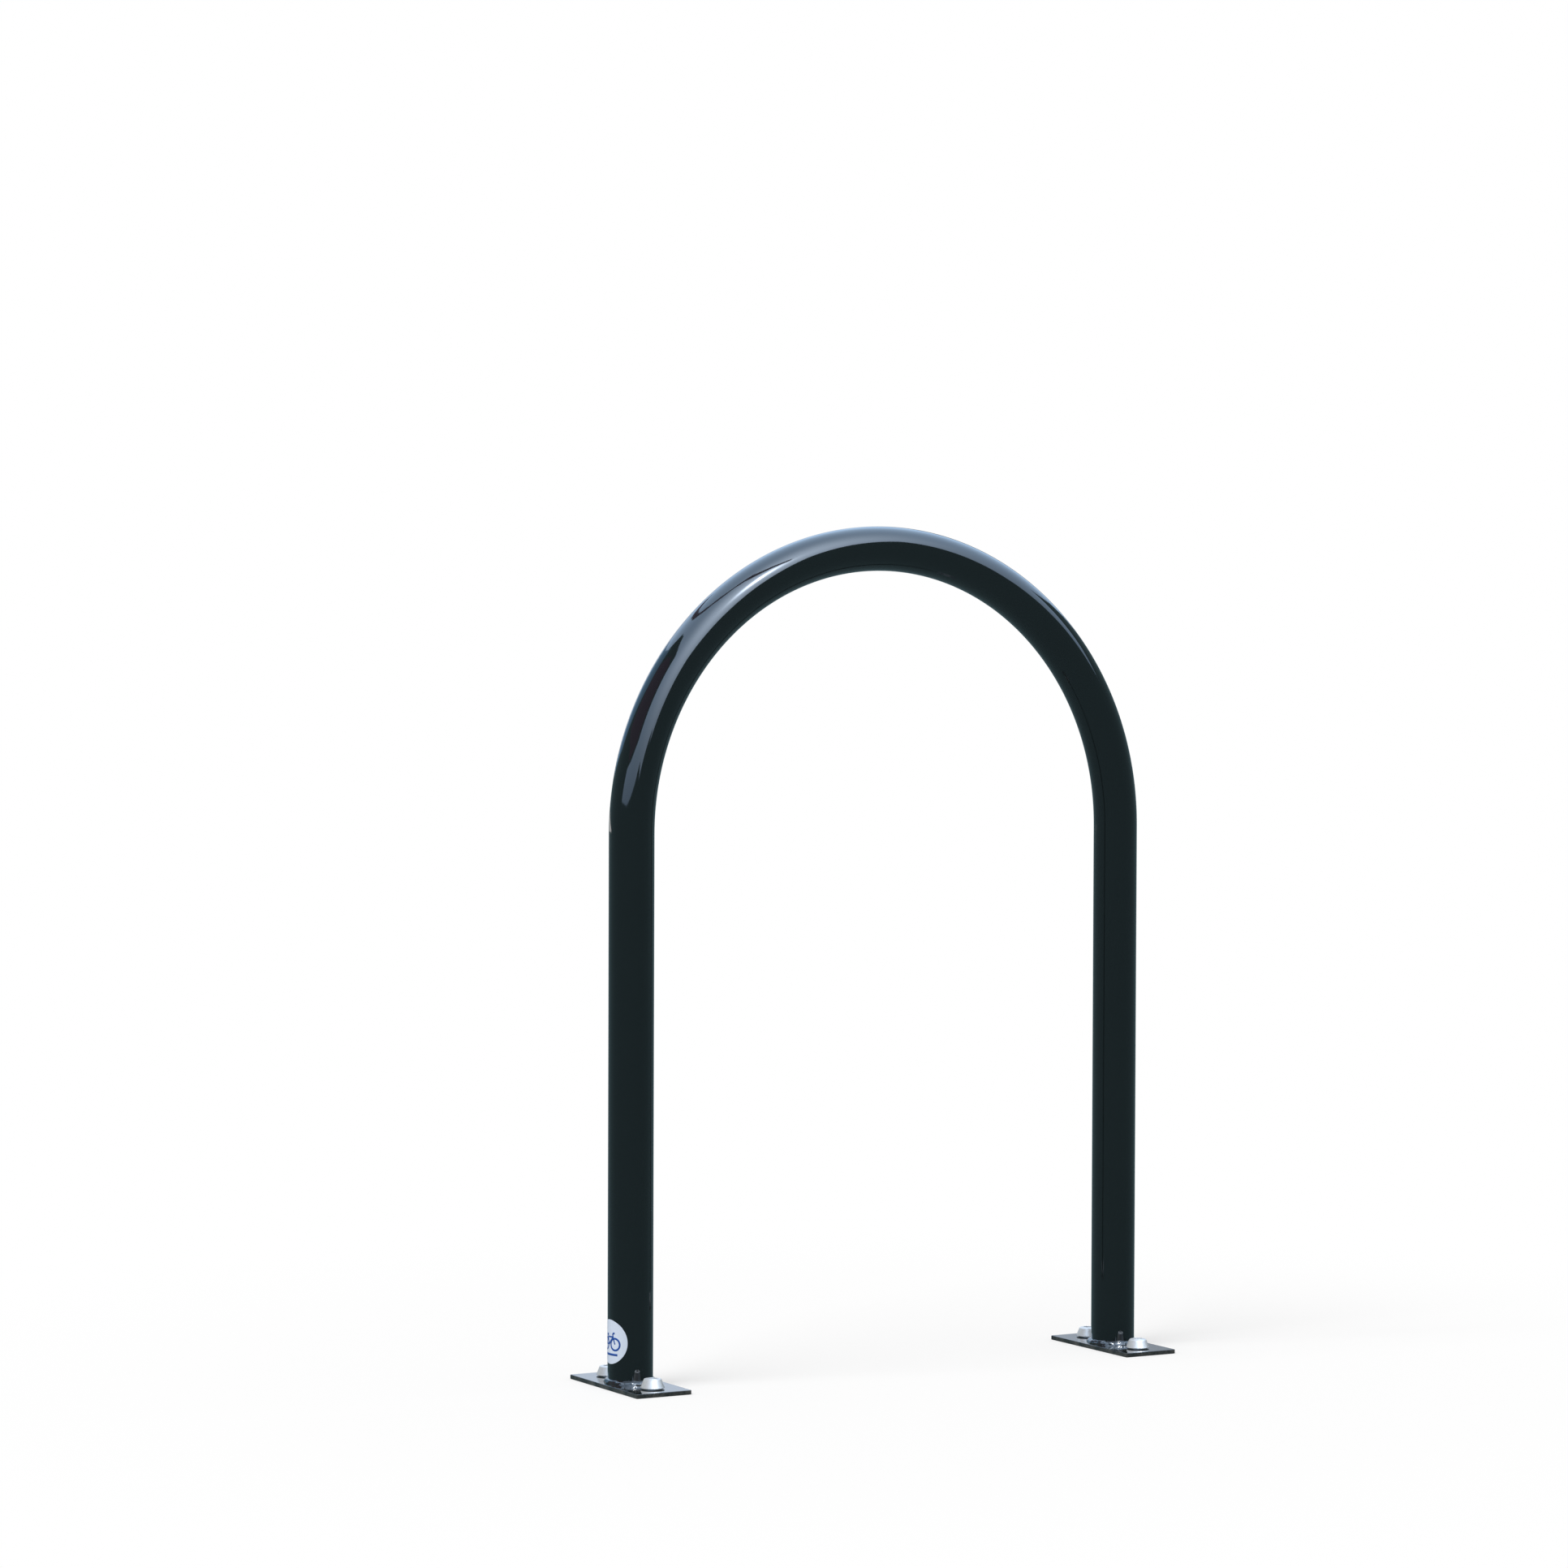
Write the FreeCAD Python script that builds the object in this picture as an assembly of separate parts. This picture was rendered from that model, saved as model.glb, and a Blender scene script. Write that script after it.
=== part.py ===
import FreeCAD, Part

import os
from math import pi, sqrt

from FreeCAD import Vector

Vector2d = FreeCAD.Base.Vector2d

# Hoop bike rack for a concrete slab. One steel pipe is bent to a half circle on
# two straight legs and welded all round to two flat foot plates. Each plate is
# held down by two wedge anchors with tamper-proof cone nuts.
#
# X runs along the hoop from the left leg to the right leg, Y goes through the
# hoop to the back, Z is up. The origin is on the slab, midway between the legs.
# All lengths are in millimetres.

# Hoop: 1 1/2 inch nominal pipe, 24 inches from leg to leg, 36 inches high
rack_height = 914.4
leg_spacing = 609.6
pipe_diameter = 48.26
pipe_wall = 3.68

# Foot plates: 65 mm flat bar, 3/16 inch thick, sheared at 155 mm
plate_length = 155.0
plate_width = 65.0
plate_thickness = 4.76
plate_corner_radius = 1.2
plate_edge_break = 0.6
drain_hole_diameter = 12.7

# Fillet weld between pipe and plate
weld_leg = 5.5
weld_crown = 0.7

# Anchor holes in the plates, placed from the plates' ends, 4 inches apart
hole_edge_distance = 26.7
bolt_hole_diameter = 11.1

# Wedge anchor stud, 3/8 by 3 inches, its thread drawn at the pitch diameter
anchor_length = 76.2
shank_diameter = 9.525
thread_diameter = 8.5
stud_top_chamfer = 0.9
stud_recess = 1.4
neck_diameter = 7.1
cone_length = 8.5
cone_land = 2.0
stud_tip_chamfer = 0.8

# Split clip round the stud's neck
clip_wall = 1.15
clip_length = 14.0
clip_play = 0.05
clip_slit_width = 1.6
clip_slot_width = 1.1
clip_slot_length = 7.0
clip_tongues = 3
clip_collar_width = 1.5
clip_waist_depth = 0.35

# Narrow 3/8 inch washer, hidden under the cone nut's base, which is 1 inch wide
washer_diameter = 20.6
washer_thickness = 1.2
washer_hole_diameter = 10.3
nut_base_diameter = 25.4
nut_top_diameter = 18.0
nut_height = 9.9
nut_base_land = 0.6
nut_top_break = 1.4
nut_thread_clearance = 0.05
nut_countersink = 0.9
neck_stub_diameter = 12.2
neck_stub_height = 0.5

# Round label on the outer side of the left leg
label_diameter = 47.0
label_thickness = 0.2
label_height = 49.5

# Worked out from the sizes above
pipe_radius = pipe_diameter / 2
leg_offset = leg_spacing / 2
arch_radius = leg_spacing / 2
bolt_offset = plate_length / 2 - hole_edge_distance
spring_height = rack_height - pipe_radius - arch_radius
washer_base = plate_thickness
nut_base = washer_base + washer_thickness
nut_top = nut_base + nut_height
stud_top = nut_top - stud_recess
neck_radius = neck_diameter / 2
shank_radius = shank_diameter / 2
shoulder = shank_radius - neck_radius
clip_bore_radius = neck_radius + clip_play
stud_tip = stud_top - anchor_length
cone_top = stud_tip + cone_land + cone_length
neck_top = cone_top + clip_play + clip_length

up = Vector(0, 0, 1)


def revolved(points, centre=Vector(0, 0, 0)):
    """A solid of revolution about a vertical axis through centre, from (radius, height) points."""
    outline = Part.makePolygon([Vector(r, 0, z) for r, z in points + points[:1]])
    solid = Part.Face(outline).revolve(Vector(0, 0, 0), up, 360)
    solid.translate(centre)
    return solid


def cylinder(diameter, height, base):
    """A vertical cylinder standing on base."""
    return Part.makeCylinder(diameter / 2, height, base, up)


def swept_bar(radius, path, start):
    """The solid that a disc of that radius sweeps along path."""
    ring = Part.Wire(Part.makeCircle(radius, start, up))
    return path.makePipeShell([ring], True, True)


def hoop_pipe():
    """The pipe: two legs joined by a half circle, hollow from end to end."""
    left_foot = Vector(-leg_offset, 0, plate_thickness)
    left_spring = Vector(-leg_offset, 0, spring_height)
    crown = Vector(0, 0, spring_height + arch_radius)
    right_spring = Vector(leg_offset, 0, spring_height)
    right_foot = Vector(leg_offset, 0, plate_thickness)
    path = Part.Wire(
        [
            Part.makeLine(left_foot, left_spring),
            Part.Arc(left_spring, crown, right_spring).toShape(),
            Part.makeLine(right_spring, right_foot),
        ]
    )
    outside = swept_bar(pipe_radius, path, left_foot)
    inside = swept_bar(pipe_radius - pipe_wall, path, left_foot)
    return outside.cut(inside)


def foot_plate(side):
    """A flat bar across the hoop's plane, with two anchor holes and a drain hole under the pipe."""
    centre = Vector(side * leg_offset, 0, 0)
    corner = centre - Vector(plate_width / 2, plate_length / 2, 0)
    plate = Part.makeBox(plate_width, plate_length, plate_thickness, corner)
    upright = [e for e in plate.Edges if abs(e.tangentAt(e.FirstParameter).z) > 0.99]
    plate = plate.makeFillet(plate_corner_radius, upright)
    rims = [e for f in plate.Faces if abs(f.normalAt(0, 0).z) > 0.99 for e in f.Edges]
    plate = plate.makeChamfer(plate_edge_break, rims)
    holes = [cylinder(drain_hole_diameter, plate_thickness, centre)]
    for row in (-1, 1):
        place = centre + Vector(0, row * bolt_offset, 0)
        holes.append(cylinder(bolt_hole_diameter, plate_thickness, place))
    return plate.cut(Part.makeCompound(holes))


def foot_weld(side):
    """The crowned fillet of weld metal that runs round the pipe's end on the plate."""
    middle = weld_leg / 2 + weld_crown / sqrt(2)
    points = [
        (pipe_radius, plate_thickness),
        (pipe_radius + weld_leg, plate_thickness),
        (pipe_radius + middle, plate_thickness + middle),
        (pipe_radius, plate_thickness + weld_leg),
    ]
    return revolved(points, Vector(side * leg_offset, 0, 0))


def anchor_stud(centre):
    """The stud: thread above the slab, shank, waisted neck and flared cone below."""
    thread_radius = thread_diameter / 2
    points = [
        (0, stud_top),
        (thread_radius - stud_top_chamfer, stud_top),
        (thread_radius, stud_top - stud_top_chamfer),
        (thread_radius, 0),
        (shank_radius, 0),
        (shank_radius, neck_top + shoulder),
        (neck_radius, neck_top),
        (neck_radius, cone_top),
        (shank_radius, stud_tip + cone_land),
        (shank_radius, stud_tip + stud_tip_chamfer),
        (shank_radius - stud_tip_chamfer, stud_tip),
        (0, stud_tip),
    ]
    return revolved(points, centre)


def radial_slot(width, length, foot, angle):
    """The round-ended slot that a cutter leaves in one wall of the clip, from its foot upwards."""
    reach = shank_diameter
    slot = Part.makeBox(reach, width, length, Vector(0, -width / 2, foot))
    end = Part.makeCylinder(width / 2, reach, Vector(0, 0, foot + length), Vector(1, 0, 0))
    slot = slot.fuse(end)
    slot.rotate(Vector(0, 0, 0), up, angle)
    return slot


def expansion_clip(centre):
    """A spring-steel sleeve, slit down one side, with three tongues and two gripping collars."""
    foot = neck_top - clip_length
    outside = clip_bore_radius + clip_wall
    waist = outside - clip_waist_depth
    upper_collar = neck_top - clip_collar_width
    lower_collar = foot + clip_slot_length + clip_collar_width
    points = [
        (clip_bore_radius, neck_top),
        (outside, neck_top),
        (outside, upper_collar),
        (waist, upper_collar - clip_waist_depth),
        (waist, lower_collar + clip_waist_depth),
        (outside, lower_collar),
        (outside, foot),
        (clip_bore_radius, foot),
    ]
    cuts = [radial_slot(clip_slit_width, clip_length, foot, 0)]
    for n in range(1, clip_tongues):
        angle = 360 * n / clip_tongues
        cuts.append(radial_slot(clip_slot_width, clip_slot_length, foot, angle))
    clip = revolved(points).cut(Part.makeCompound(cuts))
    clip.translate(centre)
    return clip


def washer(centre):
    """A flat punched steel washer."""
    base = centre + Vector(0, 0, washer_base)
    disc = cylinder(washer_diameter, washer_thickness, base)
    return disc.cut(cylinder(washer_hole_diameter, washer_thickness, base))


def security_nut(centre):
    """A cone nut whose driving hexagon has been sheared off, which leaves a low stub."""
    bore = thread_diameter / 2 + nut_thread_clearance
    base_radius = nut_base_diameter / 2
    top_radius = nut_top_diameter / 2
    stub_radius = neck_stub_diameter / 2
    land = nut_base + nut_base_land
    face = nut_top - neck_stub_height
    taper = (base_radius - top_radius) / (face - land)
    points = [
        (bore, nut_base + nut_countersink),
        (bore + nut_countersink, nut_base),
        (base_radius, nut_base),
        (base_radius, land),
        (top_radius + taper * nut_top_break, face - nut_top_break),
        (top_radius - nut_top_break, face),
        (stub_radius, face),
        (stub_radius - neck_stub_height, nut_top),
        (bore, nut_top),
    ]
    return revolved(points, centre)


def round_label():
    """A round vinyl label wrapped on the outer side of the left leg."""
    half_turn = label_diameter / 2 / pipe_radius
    half_height = label_diameter / 2
    skins = []
    rims = []
    for radius in (pipe_radius, pipe_radius + label_thickness):
        wall = Part.Cylinder()
        wall.Radius = radius
        wall.Center = Vector(-leg_offset, 0, 0)
        rim = Part.Geom2d.Ellipse2d(
            Vector2d(pi, label_height + half_height),
            Vector2d(pi - half_turn, label_height),
            Vector2d(pi, label_height),
        ).toShape(wall)
        rims.append(rim)
        skins.append(Part.Face(wall, Part.Wire(rim)))
    edge_band = Part.makeRuledSurface(rims[0], rims[1])
    shell = Part.makeShell(skins + [edge_band])
    shell.sewShape()
    solid = Part.Solid(shell)
    if solid.Volume < 0:
        solid.reverse()
    return solid


def all_pieces():
    """Every piece of the rack, by name."""
    pieces = {"hoop_pipe": hoop_pipe(), "round_label": round_label()}
    for side, side_name in ((-1, "left"), (1, "right")):
        pieces[side_name + "_foot_plate"] = foot_plate(side)
        pieces[side_name + "_weld"] = foot_weld(side)
        for row, row_name in ((-1, "front"), (1, "back")):
            place = Vector(side * leg_offset, row * bolt_offset, 0)
            name = side_name + "_" + row_name + "_"
            pieces[name + "anchor_stud"] = anchor_stud(place)
            pieces[name + "expansion_clip"] = expansion_clip(place)
            pieces[name + "washer"] = washer(place)
            pieces[name + "security_nut"] = security_nut(place)
    return pieces


def main():
    os.makedirs("parts", exist_ok=True)
    for name, shape in all_pieces().items():
        shape.exportStep(os.path.join("parts", name + ".step"))
        print(name, "valid" if shape.isValid() else "NOT VALID", len(shape.Solids), "solid",
              round(shape.Volume, 1), "mm3")


main()
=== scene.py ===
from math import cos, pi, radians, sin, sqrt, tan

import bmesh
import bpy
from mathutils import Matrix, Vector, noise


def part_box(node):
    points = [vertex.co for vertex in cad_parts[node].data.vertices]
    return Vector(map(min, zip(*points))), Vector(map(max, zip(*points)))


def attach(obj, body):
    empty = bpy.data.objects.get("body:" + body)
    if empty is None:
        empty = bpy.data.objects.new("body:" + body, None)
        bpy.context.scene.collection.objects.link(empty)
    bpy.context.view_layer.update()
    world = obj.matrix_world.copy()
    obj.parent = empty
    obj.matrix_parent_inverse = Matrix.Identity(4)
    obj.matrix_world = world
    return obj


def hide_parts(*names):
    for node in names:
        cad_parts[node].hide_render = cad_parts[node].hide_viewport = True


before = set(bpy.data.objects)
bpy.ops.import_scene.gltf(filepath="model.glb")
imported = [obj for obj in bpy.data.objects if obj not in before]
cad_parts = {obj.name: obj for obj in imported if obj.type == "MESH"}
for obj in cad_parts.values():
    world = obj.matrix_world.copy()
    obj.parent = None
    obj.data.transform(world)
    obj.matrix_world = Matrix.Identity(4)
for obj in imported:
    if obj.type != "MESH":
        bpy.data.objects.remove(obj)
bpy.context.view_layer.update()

# %% [markdown]
# A hoop bike rack is a piece of street furniture with very few parts: one steel
# pipe bent to a half circle on two straight legs, two flat plates that it is
# welded to, and the anchors that hold the plates to a concrete slab. Nearly all
# of what the eye sees is one glossy black film that mirrors its surroundings, so
# this lesson is about smooth curves, soft light and the few small bright parts
# at the feet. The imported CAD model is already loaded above: it fixes every size
# and place, and the pieces below are drawn over it.

mm = 0.001

pipe_low, pipe_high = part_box("hoop_pipe")
plate_low, plate_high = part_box("left_foot_plate")
weld_low, weld_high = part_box("left_weld")
washer_low, washer_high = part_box("left_front_washer")
nut_low, nut_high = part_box("left_front_security_nut")
stud_low, stud_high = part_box("left_front_anchor_stud")
label_low, label_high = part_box("round_label")

leg_offset = -(plate_low.x + plate_high.x) / 2
pipe_radius = pipe_high.x - leg_offset
spring_height = pipe_high.z - pipe_radius - leg_offset
plate_top = plate_high.z
feet = (("left", -leg_offset), ("right", leg_offset))
print("pipe", round(2 * pipe_radius / mm, 2), "mm thick, legs", round(2 * leg_offset / mm, 1),
      "mm apart, straight up to", round(spring_height / mm, 1), "mm")

# %% [markdown]
# Colours are written as they stand on a colour chart, in sRGB hex, but the
# shader works with linear light. One function turns the first into the second,
# so no colour is ever typed twice or converted by hand.

# %% Turn a hex colour to linear light
def linear(hex_colour):
    """The linear red, green, blue and alpha of an sRGB colour such as #20262a."""
    channels = []
    for at in (1, 3, 5):
        value = int(hex_colour[at : at + 2], 16) / 255
        if value <= 0.04045:
            channels.append(value / 12.92)
        else:
            channels.append(((value + 0.055) / 1.055) ** 2.4)
    return (*channels, 1.0)


print("mid grey #808080 is", round(linear("#808080")[0], 3), "in linear light")

# %% [markdown]
# Every material and the world are small networks of nodes. One function adds a
# node, sets its options and fills its inputs, either with a value or with
# another node's output. The others add what comes back in most materials: a
# calculation, soft noise, one range spread over another, a blend or a shade of a
# colour, and a bump. Each material of the rack ends in one Principled shader,
# which is the form that other programs read best.

# %% Start a material and add its nodes
# A Mix node has sockets of the same name for numbers, vectors and colours. These
# are the ones for colours.
mix_colour_a = 6
mix_colour_b = 7
mix_colour_out = 2


def add_node(tree, kind, inputs=None, **settings):
    """One node; inputs maps a socket to a value or to the output that feeds it."""
    node = tree.nodes.new(kind)
    for name, value in settings.items():
        setattr(node, name, value)
    for name, value in (inputs or {}).items():
        if isinstance(value, bpy.types.NodeSocket):
            tree.links.new(value, node.inputs[name])
        else:
            node.inputs[name].default_value = value
    return node


def calculate(tree, operation, *values):
    """The result of one Math node; each value is a number or an output."""
    node = add_node(tree, "ShaderNodeMath", dict(enumerate(values)), operation=operation)
    return node.outputs["Value"]


def own_place(tree):
    """The place of a point in the piece's own coordinates."""
    return add_node(tree, "ShaderNodeTexCoord").outputs["Object"]


def soft_noise(tree, place, size, detail, roughness=0.5):
    """Noise round 0.5 with grains of that size."""
    return add_node(tree, "ShaderNodeTexNoise", {
        "Vector": place, "Scale": 1 / size, "Detail": detail,
        "Roughness": roughness}).outputs["Fac"]


def spread(tree, value, source, target, **settings):
    """Spreads a value's source range (low, high) over the target range."""
    return add_node(tree, "ShaderNodeMapRange", {
        "Value": value, "From Min": source[0], "From Max": source[1],
        "To Min": target[0], "To Max": target[1]}, **settings).outputs["Result"]


def blend(tree, share, first, second):
    """The first colour where share is 0 and the second where it is 1."""
    node = add_node(tree, "ShaderNodeMix", {
        "Factor": share, mix_colour_a: first, mix_colour_b: second}, data_type="RGBA")
    return node.outputs[mix_colour_out]


def shaded(tree, hex_colour, shade):
    """A colour times a shade near 1."""
    return add_node(tree, "ShaderNodeVectorMath", {
        0: linear(hex_colour)[:3], "Scale": shade}, operation="SCALE").outputs["Vector"]


def bumped(tree, height, strength, depth):
    """The surface's normal, tilted by a height between 0 and 1 that stands for that depth."""
    return add_node(tree, "ShaderNodeBump", {
        "Height": height, "Strength": strength, "Distance": depth}).outputs["Normal"]


def new_material(name):
    """An empty material and its node tree."""
    material = bpy.data.materials.new(name)
    material.use_nodes = True
    material.node_tree.nodes.clear()
    return material, material.node_tree


def end_in_principled(tree, inputs):
    """Ends a material in one Principled shader with those inputs."""
    shader = add_node(tree, "ShaderNodeBsdfPrincipled", inputs)
    add_node(tree, "ShaderNodeOutputMaterial", {"Surface": shader.outputs["BSDF"]})


print("colours go into a Mix node at", mix_colour_a, "and", mix_colour_b)

# %% [markdown]
# The black is polyester powder coat: dry powder is sprayed on the charged steel
# and baked until it flows into one film, about 0.08 mm thick, with a clear layer
# baked over it. That gives a nearly black, slightly green body colour and a deep
# gloss. Both layers mirror a little, so the shader has a coat over its own
# gloss; polyester's IOR is about 1.55. The faint orange peel of a film that set
# while it still flowed has waves 2 to 4 mm long. What lies flat near the ground
# also carries a thin grey dust, in clouds a centimetre or two wide, and on a
# sheared edge the powder draws back and sets thin and dull. So one function
# makes a clean black for the pipe, a dusty one for the plates, and one for the
# welds between them. An edge is found by its normal, which is neither level nor
# upright there.

# %% Black powder coat
peel_wavelength = 3.2 * mm
peel_depth = 0.1 * mm
peel_strength = 0.05
smudge_size = 60 * mm
smudge_range = (0.35, 0.7)
film_roughness = (0.05, 0.08)
clear_layer_roughness = 0.04
dust_cloud_size = 14 * mm
dust_range = (0.35, 0.75)
polyester_ior = 1.55

# On an edge the square of the normal's Z lies within edge_reach of edge_middle
edge_middle = 0.5
edge_reach = 0.45


def powder_coat(name, dust, edge_roughness=0.0):
    """Glossy black powder coat under that share of grey dust, duller where edges turn."""
    material, tree = new_material(name)
    place = own_place(tree)
    peel = soft_noise(tree, place, peel_wavelength, detail=1.0, roughness=0.4)
    normal = bumped(tree, peel, peel_strength, peel_depth)
    smudges = soft_noise(tree, place, smudge_size, detail=3.0)
    roughness = spread(tree, smudges, smudge_range, film_roughness)
    black = blend(tree, smudges, linear("#090d0e"), linear("#0c1112"))
    clouds = soft_noise(tree, place, dust_cloud_size, detail=5.0, roughness=0.65)
    dusty = blend(tree, spread(tree, clouds, dust_range, (0.0, dust)), black, linear("#b3aea6"))
    coat_weight = 1.0
    if edge_roughness > 0:
        facing = add_node(tree, "ShaderNodeNewGeometry").outputs["Normal"]
        up = add_node(tree, "ShaderNodeSeparateXYZ", {0: facing}).outputs["Z"]
        squared = calculate(tree, "MULTIPLY", up, up)
        turning = calculate(tree, "COMPARE", squared, edge_middle, edge_reach)
        roughness = calculate(tree, "MULTIPLY_ADD", turning, edge_roughness, roughness)
        coat_weight = calculate(tree, "SUBTRACT", 1.0, turning)
    end_in_principled(tree, {
        "Base Color": dusty, "Roughness": roughness, "IOR": polyester_ior, "Normal": normal,
        "Coat Weight": coat_weight, "Coat Roughness": clear_layer_roughness,
        "Coat IOR": polyester_ior, "Coat Normal": normal})
    return material


black_coat = powder_coat("powder_coat_gloss_black", dust=0.0)
plate_coat = powder_coat("powder_coat_gloss_black_dusty", dust=0.16, edge_roughness=0.3)
weld_coat = powder_coat("powder_coat_gloss_black_over_weld", dust=0.05)
print("orange peel waves are", round(peel_wavelength / mm, 1), "mm long")

# %% [markdown]
# The cone nuts are forged cold in a die and plated with zinc. The die leaves
# faint marks that are drawn out down the cone, about 1.5 mm apart. The zinc has
# stood outside long enough to grow a thin pale oxide, which scatters light, so
# the nuts look matt and only partly metallic. Their colour is nearly white: partly
# that oxide, partly painted sunlight, which the hard lamp alone gives them too
# weakly. The washers and studs lie in the shade, where the metal has stayed grey.

# %% Zinc-plated steel
mark_range = (0.3, 0.7)
mark_shades = (1.03, 0.95)
mark_depth = 0.05 * mm
mark_strength = 0.12


def plated_zinc(name, colour, metallic, roughness, mark_size, drawn_out=1):
    """Zinc-plated steel, with faint marks that wide, stretched that many times along Z."""
    material, tree = new_material(name)
    place = add_node(tree, "ShaderNodeVectorMath", {
        0: own_place(tree), 1: (1.0, 1.0, 1 / drawn_out)}, operation="MULTIPLY").outputs["Vector"]
    marks = soft_noise(tree, place, mark_size, detail=3.0, roughness=0.6)
    shade = spread(tree, marks, mark_range, mark_shades)
    end_in_principled(tree, {
        "Base Color": shaded(tree, colour, shade), "Metallic": metallic,
        "Roughness": spread(tree, marks, mark_range, roughness),
        "Normal": bumped(tree, marks, mark_strength, mark_depth)})
    return material


# The nuts' near-white colour is partly their oxide and partly painted sunlight.
nut_zinc = plated_zinc("oxide_and_painted_sunlight_zinc", "#e8e7e5", metallic=0.55,
                       roughness=(0.44, 0.54), mark_size=1.5 * mm, drawn_out=12)
washer_zinc = plated_zinc("dull_zinc_on_punched_steel", "#a9adb2", metallic=1.0,
                          roughness=(0.32, 0.48), mark_size=1.2 * mm)
clip_steel = plated_zinc("rolled_spring_steel", "#8d9196", metallic=1.0,
                         roughness=(0.3, 0.42), mark_size=0.9 * mm)
print("made", nut_zinc.name + ",", washer_zinc.name, "and", clip_steel.name)

# %% [markdown]
# The label is white vinyl film, cast thin, screen printed and stuck round the
# leg. Vinyl is a soft plastic with an IOR near 1.53 and a satin surface. Its
# print is a flat layer of blue ink. Out of doors the white takes on the blue of
# the sky, and the film's pale blue colour paints part of that sky light in.

# %% Label vinyl and ink
mottle_size = 1.5 * mm
mottle_shades = (0.94, 1.03)
vinyl_ior = 1.53


def printed_film(name, colour, roughness):
    """Cast vinyl film or the ink on it, with the faint mottle of a screen print."""
    material, tree = new_material(name)
    mottle = soft_noise(tree, own_place(tree), mottle_size, detail=2.0)
    shade = spread(tree, mottle, (0.0, 1.0), mottle_shades)
    end_in_principled(tree, {
        "Base Color": shaded(tree, colour, shade), "Roughness": roughness, "IOR": vinyl_ior})
    return material


# The film's pale blue is partly painted sky light.
label_vinyl = printed_film("cast_vinyl_film", "#c6d1e1", roughness=0.35)
label_ink = printed_film("screen_print_ink", "#1f4c9a", roughness=0.3)
print("made", label_vinyl.name, "and", label_ink.name)

# %% [markdown]
# Two helpers shape nearly all the meshes. The first rounds the corners of an
# outline, because no real edge is perfectly sharp and it is the rounded edge
# that catches the light. The second turns an outline about an axis, which gives
# the round pieces: the nuts and the washers. The rest of them join rings of
# points with faces and put a finished mesh in the scene.

# %% Round an outline and turn it
arc_steps = 6
turned_points = 128
merge_distance = 0.0001 * mm


def full_turn(count):
    """That many angles, evenly spaced round a circle."""
    return [2 * pi * j / count for j in range(count)]


def level_ring(radius, height, count):
    """That many points round the Z axis, all at one radius and height."""
    return [(radius * cos(a), radius * sin(a), height) for a in full_turn(count)]


def rounded(corners):
    """The points of an outline; each corner (x, y, radius) becomes an arc of that radius."""
    points = []
    for i, (x, y, radius) in enumerate(corners):
        here = Vector((x, y))
        if radius == 0:
            points.append(here)
            continue
        before = (Vector(corners[i - 1][:2]) - here).normalized()
        after = (Vector(corners[(i + 1) % len(corners)][:2]) - here).normalized()
        half = before.angle(after) / 2
        centre = here + (before + after).normalized() * radius / sin(half)
        start = here + before * radius / tan(half) - centre
        end = here + after * radius / tan(half) - centre
        for k in range(arc_steps + 1):
            spoke = start.normalized().slerp(end.normalized(), k / arc_steps)
            points.append(centre + spoke * radius)
    return points


def mesh_from_work(name, work):
    """The mesh that was drawn in a bmesh, which is freed."""
    mesh = bpy.data.meshes.new(name)
    work.to_mesh(mesh)
    work.free()
    return mesh


def shade_smooth(mesh):
    """Lets light run on from face to face instead of showing each one flat."""
    mesh.polygons.foreach_set("use_smooth", [True] * len(mesh.polygons))


def mesh_from_rows(name, rows, close_rows=True):
    """A mesh from closed rings of points; close_rows also joins the last ring to the first."""
    around = len(rows[0])
    faces = []
    for i in range(len(rows) if close_rows else len(rows) - 1):
        for j in range(around):
            below, above = i * around, (i + 1) % len(rows) * around
            right = (j + 1) % around
            faces.append((below + j, below + right, above + right, above + j))
    mesh = bpy.data.meshes.new(name)
    mesh.from_pydata([p for row in rows for p in row], [], faces)
    work = bmesh.new()
    work.from_mesh(mesh)
    bmesh.ops.remove_doubles(work, verts=work.verts, dist=merge_distance)
    bmesh.ops.recalc_face_normals(work, faces=work.faces)
    work.to_mesh(mesh)
    work.free()
    shade_smooth(mesh)
    return mesh


def turned(name, outline):
    """An outline turned about the Z axis; one that starts on the axis is left open there."""
    rows = [level_ring(point.x, point.y, turned_points) for point in outline]
    return mesh_from_rows(name, rows, close_rows=outline[0].x > 0)


def add_object(name, data):
    """A new object in the scene that shows a mesh, a lamp or a camera."""
    thing = bpy.data.objects.new(name, data)
    bpy.context.scene.collection.objects.link(thing)
    return thing


def put(mesh, material, place, node):
    """Puts a finished mesh in the scene in place of a CAD node, riding on the rack."""
    mesh.materials.append(material)
    piece = add_object(mesh.name, mesh)
    piece.location = place
    flats = piece.modifiers.new("flat faces stay flat", "WEIGHTED_NORMAL")
    flats.keep_sharp = True
    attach(piece, "root")
    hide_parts(node)


print("a turned piece has", turned_points, "points round its axis")

# %% [markdown]
# The pipe is drawn again, finer than the CAD mesh, because a mirror-like black
# shows every flat facet as a kink in its reflections. A ring of points is
# carried along the centre line: up one leg, round the half circle and down the
# other. A second, smaller ring makes the bore, so the pipe stays a real pipe.

# %% The bent pipe
pipe_wall = 3.68 * mm
ring_points = 144
bend_steps = 160
origin = Vector((0, 0, 0))


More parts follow.
